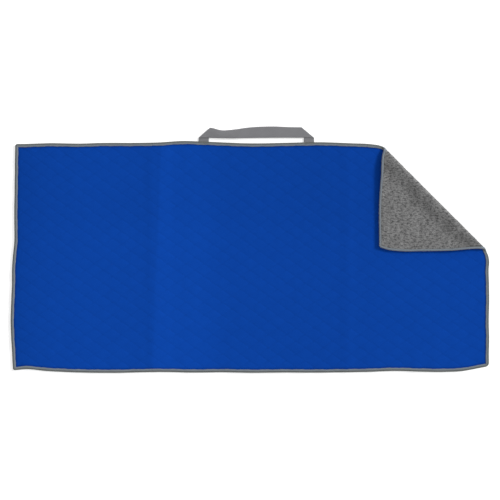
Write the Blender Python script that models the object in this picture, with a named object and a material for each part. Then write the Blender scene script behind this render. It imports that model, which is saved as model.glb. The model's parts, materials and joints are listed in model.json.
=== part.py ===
"""Caddy-size golf towel, lying flat with its blue face up, its far right corner turned over and its
webbing carry loop laid out past the edge.

Units are metres and +Z is up. The origin is the centre of the towel's underside. +X runs along the
towel, to the end with the turned corner, and +Y points to the edge that carries the loop.

The cloth bends along three lines, so each ply is cut into the four panels between them: a left third,
a middle third, a right third and the turned corner. Every panel is a pile backing below a face cloth,
and one tape folded round the raw edge binds both.
"""

import math

import bmesh
import bpy
from mathutils import Matrix, Vector

# Towel
TOWEL_LENGTH = 1.016
TOWEL_WIDTH = 0.487
MIDDLE_LENGTH = 0.416  # a little over a third, so that both ends fold in flat
CORNER_LEG = 0.2325  # along either edge, from the corner to the line it is turned over on
CORNER_RADIUS = 0.008
CORNER_SEGMENTS = 5

# Plies and edge tape
PLUSH_THICKNESS = 0.0030
FACE_THICKNESS = 0.0012
TAPE_THICKNESS = 0.0005
TAPE_LAP = 0.0070  # how far the tape reaches in over the cloth, above and below
TAPE_NOSE = 0.0006  # chamfer along the tape's outer fold
PILE_SLOPE = 0.0006  # how much the pile narrows where the tape squeezes it
GAP = 0.0003  # between neighbouring solids

# Folds
FOLD_HEIGHT = 0.0065  # of the axes that the cloth turns about, just over the bound edge

# Carry loop
STRAP_WIDTH = 0.022
STRAP_THICKNESS = 0.0015
LOOP_LENGTH = 0.246  # outside, from one foot to the other
LOOP_CENTRE_X = 0.014
LOOP_RISE = 0.011  # clear height between the towel's edge and the strap
LOOP_AXIS_HEIGHT = 0.0060
FOOT_BOTTOM = 0.0012
LAYER_BITE = 0.0001  # overlap of the two strap layers where they are joined

# Bar tacks
TACK_LENGTH = 0.018
TACK_WIDTH = 0.0022
TACK_HEIGHT = 0.0006
TACK_INSET = 0.0035
TACK_EDGE = 0.0002

# Heights in the stack of plies, from the underside up
RIM_BOTTOM = TAPE_THICKNESS + GAP
FACE_BOTTOM = PLUSH_THICKNESS + GAP
FACE_TOP = FACE_BOTTOM + FACE_THICKNESS
TAPE_TOP = FACE_TOP + GAP + TAPE_THICKNESS

HALF_LENGTH = TOWEL_LENGTH / 2
HALF_WIDTH = TOWEL_WIDTH / 2
FOLD_X = MIDDLE_LENGTH / 2
PLY_INSET = TAPE_THICKNESS + GAP
STRAP_BOTTOM_Y = HALF_WIDTH + LOOP_RISE
STRAP_TOP_Y = STRAP_BOTTOM_Y + STRAP_WIDTH
LOOP_LEFT_X = LOOP_CENTRE_X - LOOP_LENGTH / 2
LOOP_RIGHT_X = LOOP_CENTRE_X + LOOP_LENGTH / 2

CORNER_PIVOT = Vector(
    (HALF_LENGTH - CORNER_LEG / 2, HALF_WIDTH - CORNER_LEG / 2, FOLD_HEIGHT)
)
CORNER_AXIS = Vector((-1.0, 1.0, 0.0)).normalized()
LOOP_PIVOT = Vector((LOOP_CENTRE_X, HALF_WIDTH, LOOP_AXIS_HEIGHT))

# Each level of a ply is its height, its inset from a bound edge and its inset from a fold line.
PLUSH_LEVELS = (
    (0.0, TAPE_LAP + GAP + PILE_SLOPE, GAP + PILE_SLOPE),
    (RIM_BOTTOM, TAPE_LAP + GAP, GAP + PILE_SLOPE / 2),
    (RIM_BOTTOM, PLY_INSET, GAP),
    (PLUSH_THICKNESS, PLY_INSET, GAP),
)
FACE_LEVELS = (
    (FACE_BOTTOM, PLY_INSET, GAP),
    (FACE_TOP, PLY_INSET, GAP),
)
# The tape's section, as inset from the towel's edge and height: a channel that opens inwards.
TAPE_SECTION = (
    (TAPE_LAP, 0.0),
    (TAPE_NOSE, 0.0),
    (0.0, TAPE_NOSE),
    (0.0, TAPE_TOP - TAPE_NOSE),
    (TAPE_NOSE, TAPE_TOP),
    (TAPE_LAP, TAPE_TOP),
    (TAPE_LAP, TAPE_TOP - TAPE_THICKNESS),
    (TAPE_THICKNESS, TAPE_TOP - TAPE_THICKNESS),
    (TAPE_THICKNESS, TAPE_THICKNESS),
    (TAPE_LAP, TAPE_THICKNESS),
)


class Panel:
    """A flat piece of the towel between fold lines.

    Its corners run anticlockwise, and edge i goes from corner i to the next one. taped says which
    edges are bound, the others being fold lines. rounded holds the numbers of the rounded corners.
    """

    def __init__(self, name, corners, taped, rounded):
        self.name = name
        self.corners = [Vector(corner) for corner in corners]
        self.taped = taped
        self.rounded = rounded

    def corner_points(self, tape_inset, fold_inset):
        """The outline's points at each corner, with its edges moved inwards by these distances."""
        edges = []
        for i, start in enumerate(self.corners):
            along = (self.corners[(i + 1) % len(self.corners)] - start).normalized()
            inward = Vector((-along.y, along.x))
            inset = tape_inset if self.taped[i] else fold_inset
            edges.append((start + inward * inset, along, inward))
        found = []
        for i, (point, along, inward) in enumerate(edges):
            before, before_along, before_inward = edges[i - 1]
            reach = (point - before).dot(inward) / before_along.dot(inward)
            corner = before + before_along * reach
            if i not in self.rounded:
                found.append([corner])
                continue
            radius = CORNER_RADIUS - tape_inset
            centre = corner + (before_inward + inward) * radius
            turns = [k / CORNER_SEGMENTS * math.pi / 2 for k in range(CORNER_SEGMENTS + 1)]
            found.append(
                [
                    centre - (before_inward * math.cos(t) + inward * math.sin(t)) * radius
                    for t in turns
                ]
            )
        return found

    def outline(self, tape_inset, fold_inset):
        """The whole outline, moved inwards."""
        return sum(self.corner_points(tape_inset, fold_inset), [])

    def edge_line(self, first, last, inset):
        """The outline from corner first to corner last, moved inwards, as the tape follows it."""
        corners = self.corner_points(inset, GAP)
        count = (last - first) % len(corners)
        return sum((corners[(first + k) % len(corners)] for k in range(count + 1)), [])


LEFT = Panel(
    "left",
    [
        (-HALF_LENGTH, -HALF_WIDTH),
        (-FOLD_X, -HALF_WIDTH),
        (-FOLD_X, HALF_WIDTH),
        (-HALF_LENGTH, HALF_WIDTH),
    ],
    taped=(True, False, True, True),
    rounded=(0, 3),
)
MIDDLE = Panel(
    "middle",
    [
        (-FOLD_X, -HALF_WIDTH),
        (FOLD_X, -HALF_WIDTH),
        (FOLD_X, HALF_WIDTH),
        (-FOLD_X, HALF_WIDTH),
    ],
    taped=(True, False, True, False),
    rounded=(),
)
RIGHT = Panel(
    "right",
    [
        (FOLD_X, -HALF_WIDTH),
        (HALF_LENGTH, -HALF_WIDTH),
        (HALF_LENGTH, HALF_WIDTH - CORNER_LEG),
        (HALF_LENGTH - CORNER_LEG, HALF_WIDTH),
        (FOLD_X, HALF_WIDTH),
    ],
    taped=(True, True, False, True, False),
    rounded=(1,),
)
CORNER = Panel(
    "corner",
    [
        (HALF_LENGTH, HALF_WIDTH - CORNER_LEG),
        (HALF_LENGTH, HALF_WIDTH),
        (HALF_LENGTH - CORNER_LEG, HALF_WIDTH),
    ],
    taped=(True, True, False),
    rounded=(1,),
)


def clear_scene():
    """Removes the objects that Blender starts with."""
    for obj in list(bpy.data.objects):
        bpy.data.objects.remove(obj, do_unlink=True)


def make_material(name, colour, roughness):
    """A plain cloth material."""
    material = bpy.data.materials.new(name)
    material.use_nodes = True
    shader = material.node_tree.nodes["Principled BSDF"]
    shader.inputs["Base Color"].default_value = (*colour, 1.0)
    shader.inputs["Roughness"].default_value = roughness
    shader.inputs["Metallic"].default_value = 0.0
    return material


def make_pivot(name, location):
    """An empty on a joint's axis, which the pieces of that body are parented to."""
    pivot = bpy.data.objects.new(name, None)
    pivot.empty_display_size = 0.05
    pivot.location = location
    bpy.context.collection.objects.link(pivot)
    return pivot


def link_solid(name, mesh, material, pivot):
    """Makes the node, with its origin on its pivot."""
    mesh.transform(Matrix.Translation(-Vector(pivot.location)))
    mesh.materials.append(material)
    obj = bpy.data.objects.new(name, mesh)
    obj.parent = pivot
    bpy.context.collection.objects.link(obj)
    return obj


def mesh_from_rings(name, rings, cap_sides):
    """A closed solid through rings of points.

    With cap_sides False each ring is a closed loop, and the first and last ring are filled. With
    cap_sides True the rings themselves join up into a tube, and its two ends are filled.
    """
    bm = bmesh.new()
    grid = [[bm.verts.new(point) for point in ring] for ring in rings]
    across = len(grid) if cap_sides else len(grid) - 1
    along = len(grid[0]) - 1 if cap_sides else len(grid[0])
    for i in range(across):
        here = grid[i]
        there = grid[(i + 1) % len(grid)]
        for j in range(along):
            k = (j + 1) % len(here)
            bm.faces.new((here[j], here[k], there[k], there[j]))
    if cap_sides:
        bm.faces.new([ring[0] for ring in grid])
        bm.faces.new([ring[-1] for ring in grid])
    else:
        bm.faces.new(grid[0])
        bm.faces.new(grid[-1])
    bmesh.ops.recalc_face_normals(bm, faces=bm.faces)
    mesh = bpy.data.meshes.new(name)
    bm.to_mesh(mesh)
    bm.free()
    return mesh


def make_ply(name, panel, levels, material, pivot):
    """One ply of a panel, as a stack of outlines."""
    rings = [
        [Vector((point.x, point.y, z)) for point in panel.outline(tape_inset, fold_inset)]
        for z, tape_inset, fold_inset in levels
    ]
    link_solid(name, mesh_from_rings(name, rings, cap_sides=False), material, pivot)


def make_binding(name, panel, first, last, material, pivot):
    """The edge tape along a panel, from corner first to corner last."""
    rings = [
        [Vector((point.x, point.y, z)) for point in panel.edge_line(first, last, inset)]
        for inset, z in TAPE_SECTION
    ]
    link_solid(name, mesh_from_rings(name, rings, cap_sides=True), material, pivot)


def make_plies(panel, plush, face, pivot):
    """The backing and the face cloth of a panel."""
    make_ply(f"plush_backing_{panel.name}", panel, PLUSH_LEVELS, plush, pivot)
    make_ply(f"face_cloth_{panel.name}", panel, FACE_LEVELS, face, pivot)


def strap_layer(name, corners, bottom, top, material, pivot):
    """A flat length of webbing with this outline."""
    rings = [[Vector((x, y, z)) for x, y in corners] for z in (bottom, top)]
    return link_solid(name, mesh_from_rings(name, rings, cap_sides=False), material, pivot)


def join_layer(strap, layer):
    """Unites a helper layer with the strap and leaves the helper out of the model."""
    union = strap.modifiers.new(f"join_{layer.name}", "BOOLEAN")
    union.operation = "UNION"
    union.solver = "EXACT"
    union.object = layer
    layer.hide_render = True
    layer.display_type = "WIRE"


def make_loop(webbing, pivot):
    """The carry loop: webbing with a 45 degree fold at each end, whose feet go down to the edge."""
    fold_bottom = FOOT_BOTTOM + STRAP_THICKNESS
    run = [
        (LOOP_LEFT_X, STRAP_BOTTOM_Y),
        (LOOP_RIGHT_X, STRAP_BOTTOM_Y),
        (LOOP_RIGHT_X - STRAP_WIDTH, STRAP_TOP_Y),
        (LOOP_LEFT_X + STRAP_WIDTH, STRAP_TOP_Y),
    ]
    strap = strap_layer(
        "handle_strap", run, fold_bottom, fold_bottom + STRAP_THICKNESS, webbing, pivot
    )
    foot_y = HALF_WIDTH + GAP
    for side, outer, inner in (
        ("left", LOOP_LEFT_X, LOOP_LEFT_X + STRAP_WIDTH),
        ("right", LOOP_RIGHT_X, LOOP_RIGHT_X - STRAP_WIDTH),
    ):
        foot = [(outer, foot_y), (inner, foot_y), (inner, STRAP_TOP_Y), (outer, STRAP_BOTTOM_Y)]
        top = fold_bottom + LAYER_BITE
        join_layer(
            strap,
            strap_layer(f"strap_foot_{side}", foot, FOOT_BOTTOM, top, webbing, pivot),
        )


def make_bar_tack(name, centre_x, thread, pivot):
    """The block of close stitches that holds one foot of the loop in the edge tape."""
    bm = bmesh.new()
    size = Matrix.Diagonal((TACK_LENGTH, TACK_WIDTH, TACK_HEIGHT, 1.0))
    bottom = TAPE_TOP + GAP
    place = Matrix.Translation((centre_x, HALF_WIDTH - TACK_INSET, bottom + TACK_HEIGHT / 2))
    bmesh.ops.create_cube(bm, size=1.0, matrix=place @ size)
    bmesh.ops.bevel(
        bm, geom=bm.edges[:], offset=TACK_EDGE, segments=2, profile=0.5, affect="EDGES"
    )
    mesh = bpy.data.meshes.new(name)
    bm.to_mesh(mesh)
    bm.free()
    link_solid(name, mesh, thread, pivot)


def main():
    clear_scene()

    face = make_material("blue_face_cloth", (0.0044, 0.0530, 0.3370), 0.9)
    plush = make_material("grey_plush", (0.1560, 0.1560, 0.1560), 1.0)
    tape = make_material("grey_edge_tape", (0.1770, 0.1900, 0.2000), 0.75)
    webbing = make_material("grey_webbing", (0.2090, 0.2120, 0.2230), 0.7)
    thread = make_material("grey_thread", (0.1500, 0.1550, 0.1650), 0.6)

    middle = make_pivot("middle_third", (0.0, 0.0, 0.0))
    left = make_pivot("left_third", (-FOLD_X, 0.0, FOLD_HEIGHT))
    right = make_pivot("right_third", (FOLD_X, 0.0, FOLD_HEIGHT))
    corner = make_pivot("corner", CORNER_PIVOT)
    loop = make_pivot("handle", LOOP_PIVOT)

    make_plies(MIDDLE, plush, face, middle)
    make_plies(LEFT, plush, face, left)
    make_plies(RIGHT, plush, face, right)
    make_plies(CORNER, plush, face, corner)

    make_binding("edge_binding_top", MIDDLE, 2, 3, tape, middle)
    make_binding("edge_binding_bottom", MIDDLE, 0, 1, tape, middle)
    make_binding("edge_binding_left", LEFT, 2, 1, tape, left)
    make_binding("edge_binding_right", RIGHT, 0, 2, tape, right)
    make_binding("edge_binding_top_right", RIGHT, 3, 4, tape, right)
    make_binding("edge_binding_corner", CORNER, 0, 2, tape, corner)

    make_loop(webbing, loop)
    make_bar_tack("bar_tack_left", LOOP_LEFT_X + STRAP_WIDTH / 2, thread, middle)
    make_bar_tack("bar_tack_right", LOOP_RIGHT_X - STRAP_WIDTH / 2, thread, middle)

    # The corner is cut flat above, then turned half a turn about its fold line onto the face.
    corner.rotation_mode = "QUATERNION"
    corner.rotation_quaternion = Matrix.Rotation(math.pi, 4, CORNER_AXIS).to_quaternion()


main()
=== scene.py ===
"""Looks of the caddy-size golf towel: a quilted blue face cloth over a grey plush backing, bound with grey
tape, its far right corner turned over and its webbing carry loop laid out past the edge.

Every cloth piece is cut flat as a slab and then laid, as the real ones are. A flat point is its place
along the towel, its place across it, and its height in the stack of plies. Laying drifts the edges, waves
the cloth and turns the corner over. Each piece keeps its flat place in its UV map, so that weave, pile and
quilting follow the cloth when it folds. Units are metres.
"""

import json
import logging
import math
from dataclasses import dataclass, field
from enum import Enum
from typing import Any, Callable

import bmesh
import bpy
import numpy as np
from mathutils import Matrix, Vector


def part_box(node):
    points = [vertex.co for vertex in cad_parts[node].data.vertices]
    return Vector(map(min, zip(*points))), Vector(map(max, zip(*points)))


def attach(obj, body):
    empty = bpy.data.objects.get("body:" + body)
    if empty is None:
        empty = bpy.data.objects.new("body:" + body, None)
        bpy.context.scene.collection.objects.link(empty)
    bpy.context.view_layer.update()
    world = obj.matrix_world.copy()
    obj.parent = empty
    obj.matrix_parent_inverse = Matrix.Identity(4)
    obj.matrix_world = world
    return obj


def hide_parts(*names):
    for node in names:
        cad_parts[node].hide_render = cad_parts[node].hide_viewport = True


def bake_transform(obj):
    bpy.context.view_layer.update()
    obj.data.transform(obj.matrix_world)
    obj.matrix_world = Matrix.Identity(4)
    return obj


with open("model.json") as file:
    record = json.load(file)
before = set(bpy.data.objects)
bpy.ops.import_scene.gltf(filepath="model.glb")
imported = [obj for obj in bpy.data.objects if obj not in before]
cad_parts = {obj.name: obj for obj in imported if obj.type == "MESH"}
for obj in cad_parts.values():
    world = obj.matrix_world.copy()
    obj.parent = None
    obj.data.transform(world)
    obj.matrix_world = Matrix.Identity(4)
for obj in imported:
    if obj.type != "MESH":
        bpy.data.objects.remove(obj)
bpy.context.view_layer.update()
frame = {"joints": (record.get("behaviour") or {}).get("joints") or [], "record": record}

FLAT_MAP = "flat"
LOG = logging.getLogger("golf_towel")

Points = np.ndarray


def smooth_step(share: Points) -> Points:
    """0 below 0, 1 above 1, and a smooth rise between."""
    share = np.clip(share, 0.0, 1.0)
    return share * share * (3.0 - 2.0 * share)


def joint_place(name: str) -> tuple[float, float, float]:
    """The point that a joint of the frame turns about."""
    return next(joint["pos_m"] for joint in frame["joints"] if joint["name"] == name)


# ---------------------------------------------------------------------------------------------------
# The cut, and how the cloth lies
# ---------------------------------------------------------------------------------------------------


@dataclass(frozen=True)
class TowelCut:
    """Flat sizes of the towel, read from the frame.

    Attributes:
        half_length: Half the towel's length.
        half_width: Half its width.
        third: Distance of each third's fold line from the middle.
        corner_line: Along plus across, on the line that the corner turns about.
        fold_height: Height of the corner's axis.
        plush_back: Height of the plush's back, under the face cloth.
        face_back: Height of the face cloth's underside.
        face_top: Height of the face cloth's top.
        stack_top: Height of the bound edge.
    """

    half_length: float
    half_width: float
    third: float
    corner_line: float
    fold_height: float
    plush_back: float
    face_back: float
    face_top: float
    stack_top: float

    @classmethod
    def from_frame(cls) -> "TowelCut":
        """Reads the CAD nodes' boxes and the corner's joint.

        Returns:
            The towel's sizes.
        """
        left_low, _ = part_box("edge_binding_left")
        _, middle_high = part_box("edge_binding_top")
        face_low, face_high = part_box("face_cloth_middle")
        _, plush_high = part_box("plush_backing_middle")
        pivot = joint_place("corner_fold")
        return cls(
            half_length=-left_low.x,
            half_width=-left_low.y,
            third=joint_place("right_third_fold")[0],
            corner_line=pivot[0] + pivot[1],
            fold_height=pivot[2],
            plush_back=plush_high.z,
            face_back=face_low.z,
            face_top=face_high.z,
            stack_top=middle_high.z,
        )


class Curve:
    """A smooth curve through a few points, level beyond its ends."""

    def __init__(self, *points: tuple[float, float]) -> None:
        """Keeps the points, given in millimetres, and works out the slope at each."""
        self.xs, self.ys = np.array(points, float).T / 1000
        self.slopes = np.gradient(self.ys, self.xs)

    def __call__(self, at: Points) -> Points:
        """The curve's height at these places, by cubic pieces.

        Args:
            at: Places along the curve.

        Returns:
            Heights, in metres.
        """
        i = np.clip(np.searchsorted(self.xs, at) - 1, 0, len(self.xs) - 2)
        width = self.xs[i + 1] - self.xs[i]
        t = np.clip((at - self.xs[i]) / width, 0.0, 1.0)
        rise = smooth_step(t)
        lean = self.slopes[i] * t * (1 - t) ** 2 - self.slopes[i + 1] * t * t * (1 - t)
        return self.ys[i] * (1 - rise) + self.ys[i + 1] * rise + width * lean


class ClumpNoise:
    """Smooth random heights from 0 to 1, on a lattice of square cells."""

    SIDE = 256

    def __init__(self, seed: int, cell: float) -> None:
        """Draws the lattice's heights.

        Args:
            seed: Seed of the draw.
            cell: Side of a cell, in metres.
        """
        self.cell = cell
        self.heights = np.random.default_rng(seed).random((self.SIDE, self.SIDE))

    def __call__(self, along: Points, across: Points) -> Points:
        """The height at these places.

        Args:
            along: Places along the towel.
            across: Places across it.

        Returns:
            Heights from 0 to 1.
        """
        x, y = along / self.cell, across / self.cell
        i, j = np.floor(x).astype(int), np.floor(y).astype(int)
        fx, fy = smooth_step(x - i), smooth_step(y - j)
        i, j, ii, jj = (n % self.SIDE for n in (i, j, i + 1, j + 1))
        near = self.heights[i, j] * (1 - fx) + self.heights[ii, j] * fx
        far = self.heights[i, jj] * (1 - fx) + self.heights[ii, jj] * fx
        return near * (1 - fy) + far * fy


def turn_over(
    points: Points, direction: tuple[float, float], line: float, centre: float, radius: float
) -> Points:
    """Rolls what lies past a line back over itself.

    Args:
        points: Points as rows of x, y and z.
        direction: Unit direction across the line, towards what is turned.
        line: The line's distance from the origin in that direction.
        centre: Height of the roll's centre.
        radius: Radius at which the cloth keeps its length.

    Returns:
        The moved points.
    """
    x, y, z = points.T
    past_line = x * direction[0] + y * direction[1] - line
    reach = centre - z
    angle = np.clip(past_line / radius, 0.0, math.pi)
    beyond = np.maximum(past_line - math.pi * radius, 0.0)
    rolled = np.where(past_line < 0, past_line, np.abs(reach) * np.sin(angle) - beyond)
    shift = rolled - past_line
    return np.stack(
        [x + shift * direction[0], y + shift * direction[1], centre - reach * np.cos(angle)], axis=1
    )


@dataclass(frozen=True)
class Lay:
    """How the towel lies: the drift of its four edges, its waves, and the turned corner.

    Attributes:
        cut: The towel's flat sizes.
        left, right, top, bottom: How far each edge has drifted towards +X or +Y, along that edge.
        edge_reach: How far in from an edge its drift fades out.
        wave: Height of the broad waves.
        wave_length: Length of the broad waves.
        pucker: Height of the tape's short puckers.
        pucker_length: Length of a pucker.
        pucker_reach: How far in from the edge the puckers fade out.
        roll_mirror: Along plus across, on the line that the laid corner is mirrored in.
        corner_lift: How far the turned corner's free edge stands up next to the fold's far end.
        crease: Height of the two storage creases along the thirds.
        crease_width: How wide they are.
        billow: Height of the turned corner's own waves.
        billow_length: Length of those waves.
        corner_radii: Radius of each corner: bottom left, bottom right, top right, top left.
    """

    cut: TowelCut
    left: Curve = Curve(
        (-237, 4.0), (-203, 2.3), (-135, -0.6), (-84, 1.0), (-60, 2.0), (-16, 2.6), (35, 7.1), (88, 6.9),
        (154, 7.8), (239, 8.9)
    )  # fmt: skip
    right: Curve = Curve(
        (-213, 0.8), (-171, 1.4), (-135, 0.5), (-100, 1.4), (-60, 1.2), (-26, 0.4), (-6, 1.3), (4, -0.6),
        (14, -4.8), (26, -6.0), (96, -2.2), (153, -1.3), (200, -1.3), (228, -5), (243, -10)
    )  # fmt: skip
    top: Curve = Curve(
        (-488, -2.0), (-425, -0.2), (-361, -1.1), (-309, 0.3), (-255, 0.3), (-191, 1.5), (-145, 4.4),
        (-90, 2.7), (0, -0.7), (107, 1.2), (149, 1.8), (213, -0.3), (258, -2.4), (274, -4.6), (286, -8.0),
        (304, -4.2), (342, -1.7), (400, 2.1), (498, 2.1)
    )  # fmt: skip
    bottom: Curve = Curve(
        (-501, 3.9), (-480, 5.8), (-437, 2.2), (-374, -0.9), (-300, -2.0), (-182, -0.2), (-119, -1.5),
        (-58, -0.8), (0, -1.8), (80, -1.2), (128, -1.6), (200, -0.9), (255, 0.2), (305, 2.1),
        (370, 0.4), (413, 0), (455, 2.3), (477, 6.2), (498, 10.5)
    )  # fmt: skip
    edge_reach: float = 0.11
    wave: float = 0.0011
    wave_length: float = 0.30
    pucker: float = 0.0008
    pucker_length: float = 0.052
    pucker_reach: float = 0.022
    roll_mirror: float = 0.5200
    corner_lift: float = 0.0038
    crease: float = 0.0009
    crease_width: float = 0.012
    billow: float = 0.0009
    billow_length: float = 0.19
    corner_radii: tuple[float, float, float, float] = (0.004, 0.009, 0.004, 0.005)

    @property
    def roll_radius(self) -> float:
        """Radius of the corner's roll, at the middle of the stack."""
        return self.cut.fold_height - self.cut.stack_top / 2

    @property
    def roll_start(self) -> float:
        """Along plus across, on the line where the corner starts to roll."""
        return self.roll_mirror - math.sqrt(2) * math.pi * self.roll_radius / 2

    def edge_distance(self, along: Points, across: Points) -> Points:
        """Distance in from the towel's nearest edge.

        Args:
            along: Places along the towel.
            across: Places across it.

        Returns:
            Distances, in metres.
        """
        return np.minimum(self.cut.half_length - np.abs(along), self.cut.half_width - np.abs(across))

    def drift(self, along: Points, across: Points) -> tuple[Points, Points]:
        """Where flat places come to lie, before the corner is turned.

        Args:
            along: Places along the towel.
            across: Places across it.

        Returns:
            The drifted places.
        """
        cut = self.cut
        near_left, near_right, near_bottom, near_top = (
            smooth_step(1 - gap / self.edge_reach)
            for gap in (
                cut.half_length + along,
                cut.half_length - along,
                cut.half_width + across,
                cut.half_width - across,
            )
        )
        x = along + self.left(across) * near_left + self.right(across) * near_right
        y = across + self.bottom(along) * near_bottom + self.top(along) * near_top
        return x, y

    def lift(self, along: Points, across: Points) -> Points:
        """How far the lower layer waves up off the surface that it lies on.

        Args:
            along: Places along the towel.
            across: Places across it.

        Returns:
            Heights, none below 0.
        """
        sway = 0.8 * np.sin(2 * math.pi * across / (1.9 * self.wave_length))
        broad = 0.5 + 0.5 * np.sin(2 * math.pi * (along / self.wave_length + 0.18) + sway)
        around = np.where(
            self.cut.half_length - np.abs(along) < self.cut.half_width - np.abs(across), across, along
        )
        ripple = 0.5 + 0.5 * np.sin(2 * math.pi * around / self.pucker_length + 9 * around)
        rim = np.exp(-self.edge_distance(along, across) / self.pucker_reach)
        creased = np.exp(-(((np.abs(along) - self.cut.third) / self.crease_width) ** 2))
        flat_near_corner = smooth_step((self.roll_start - 0.020 - along - across) / 0.09)
        calm_at_thirds = 0.45 + 0.55 * smooth_step(np.abs(np.abs(along) - self.cut.third) / 0.07)
        waves = self.wave * broad * calm_at_thirds + self.pucker * ripple * rim
        return (waves + self.crease * creased) * flat_near_corner

    def corner_rise(self, along: Points, across: Points) -> Points:
        """How far the turned corner stands up off the cloth under it.

        Args:
            along: Flat places along the towel.
            across: Flat places across it.

        Returns:
            Heights, in metres.
        """
        past = smooth_step((along + across - self.cut.corner_line - 0.004) / 0.06)
        free_edge = np.exp(-(self.cut.half_width - across) / 0.035)
        high_part = smooth_step((0.455 - along) / 0.12)
        waves = 0.5 + 0.5 * np.sin(2 * math.pi * (along - across) / self.billow_length)
        return past * (self.corner_lift * free_edge * high_part + self.billow * waves)

    def place(self, flat: Points) -> Points:
        """Lays flat points down.

        Args:
            flat: Rows of place along, place across and height in the stack.

        Returns:
            Rows of x, y and z, in the frame.
        """
        along, across, height = flat.T
        x, y = self.drift(along, across)
        laid = np.stack([x, y, height + self.lift(along, across)], axis=1)
        diagonal = 1 / math.sqrt(2)
        laid = turn_over(
            laid, (diagonal, diagonal), self.roll_start * diagonal, self.cut.fold_height, self.roll_radius
        )
        laid[:, 2] += self.corner_rise(along, across)
        return laid

    def rounded(self, flat: Points, inset: float) -> Points:
        """Draws the square corners of a ply in to the towel's rounded outline.

        Args:
            flat: Flat points of the ply.
            inset: How far the ply's edge is in from the towel's edge.

        Returns:
            The points, moved along their own plane.
        """
        drawn = flat.copy()
        signs = ((-1, -1), (1, -1), (1, 1), (-1, 1))
        for (sx, sy), radius in zip(signs, self.corner_radii):
            dx = drawn[:, 0] * sx - (self.cut.half_length - radius - inset)
            dy = drawn[:, 1] * sy - (self.cut.half_width - radius - inset)
            inside = (dx > 0) & (dy > 0)
            far = np.maximum(np.hypot(dx, dy), 1e-9)
            share = np.where(inside, np.maximum(dx, dy) / far, 1.0)
            drawn[:, 0] -= np.where(inside, dx * (1 - share), 0.0) * sx
            drawn[:, 1] -= np.where(inside, dy * (1 - share), 0.0) * sy
        return drawn


# ---------------------------------------------------------------------------------------------------
# Panels, and how each piece moves
# ---------------------------------------------------------------------------------------------------


class Panel(Enum):
    """The four panels between the lines that the towel folds on."""

    LEFT = "left"
    MIDDLE = "middle"
    RIGHT = "right"
    CORNER = "corner"


@dataclass(frozen=True)
class Folds:
    """Ties the middle panel's pieces to the middle third's body, and bakes the other panels' pieces in
    place.

    Attributes:
        cut: The towel's flat sizes.
        bend: How far past a third's fold line the cloth still bends.
        seam: Along plus across, on the cut between the right panel's pieces and the corner's.
    """

    cut: TowelCut
    bend: float = 0.026
    seam: float = 0.492

    def carry(self, piece: bpy.types.Object, panel: Panel, turn: tuple[float, float]) -> None:
        """Ties a middle panel's piece to the middle third's body, and bakes any other piece in place.

        Args:
            piece: The finished piece.
            panel: The panel that it belongs to.
            turn: Not used; for the corner, the heights between which it would go over from one body to the
                other.
        """
        third = self.cut.third
        if panel is Panel.MIDDLE:
            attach(piece, "middle_third")
        elif panel is Panel.LEFT:
            -third - self.bend
            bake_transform(piece)
        elif panel is Panel.RIGHT:
            third + self.bend
            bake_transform(piece)
        else:
            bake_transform(piece)

    def span(self, panel: Panel) -> tuple[float, float]:
        """The panel's two ends along the towel.

        Args:
            panel: The panel.

        Returns:
            Its lower end and its upper end.
        """
        third, end = self.cut.third, self.cut.half_length
        return {
            Panel.LEFT: (-end, -third),
            Panel.MIDDLE: (-third, third),
            Panel.RIGHT: (third, end),
            Panel.CORNER: (self.seam - self.cut.half_width, end),
        }[panel]

    def flat_size(self, panel: Panel) -> tuple[float, float]:
        """The panel's cut size.

        Args:
            panel: The panel.

        Returns:
            Its size along the towel and its size across it.
        """
        first, last = self.span(panel)
        if panel is Panel.CORNER:
            return last - first, last - first
        return last - first, 2 * self.cut.half_width

    def flat_area(self, panel: Panel) -> float | None:
        """The panel's area where it isn't a rectangle.

        Args:
            panel: The panel.

        Returns:
            Its area, or None for a rectangle.
        """
        triangle = self.flat_size(Panel.CORNER)[0] ** 2 / 2
        if panel is Panel.CORNER:
            return triangle
        if panel is Panel.RIGHT:
            width, length = self.flat_size(panel)
            return width * length - triangle
        return None


# ---------------------------------------------------------------------------------------------------
# Mesh work
# ---------------------------------------------------------------------------------------------------


def flat_cut(low: tuple[float, float], high: tuple[float, float], step: float) -> bmesh.types.BMesh:
    """A flat rectangle of small square faces, at height 0.

    Args:
        low: Its lowest corner.
        high: Its highest corner.
        step: Side of a face.

    Returns:
        The rectangle.
    """
    bm = bmesh.new()
    width, depth = high[0] - low[0], high[1] - low[1]
    place = Matrix.Translation(((low[0] + high[0]) / 2, (low[1] + high[1]) / 2, 0.0))
    bmesh.ops.create_grid(
        bm,
        x_segments=max(1, round(width / step)),
        y_segments=max(1, round(depth / step)),
        size=0.5,
        matrix=place @ Matrix.Diagonal((width, depth, 1.0, 1.0)),
    )
    return bm


def slab(low: tuple[float, float], high: tuple[float, float], step: float) -> bmesh.types.BMesh:
    """A flat cut made into a closed slab, from height 0 to height 1.

    Args:
        low: Its lowest corner.
        high: Its highest corner.
        step: Side of a face.

    Returns:
        The slab.
    """
    bm = flat_cut(low, high, step)
    thicken(bm)
    return bm


def thicken(bm: bmesh.types.BMesh) -> None:
    """Gives a flat sheet a top layer at height 1 and walls round it.

    Args:
        bm: The sheet.
    """
    grown = bmesh.ops.extrude_face_region(bm, geom=bm.faces[:] + bm.edges[:] + bm.verts[:])
    top = [part for part in grown["geom"] if isinstance(part, bmesh.types.BMVert)]
    bmesh.ops.translate(bm, verts=top, vec=(0.0, 0.0, 1.0))
    bmesh.ops.recalc_face_normals(bm, faces=bm.faces)


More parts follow.
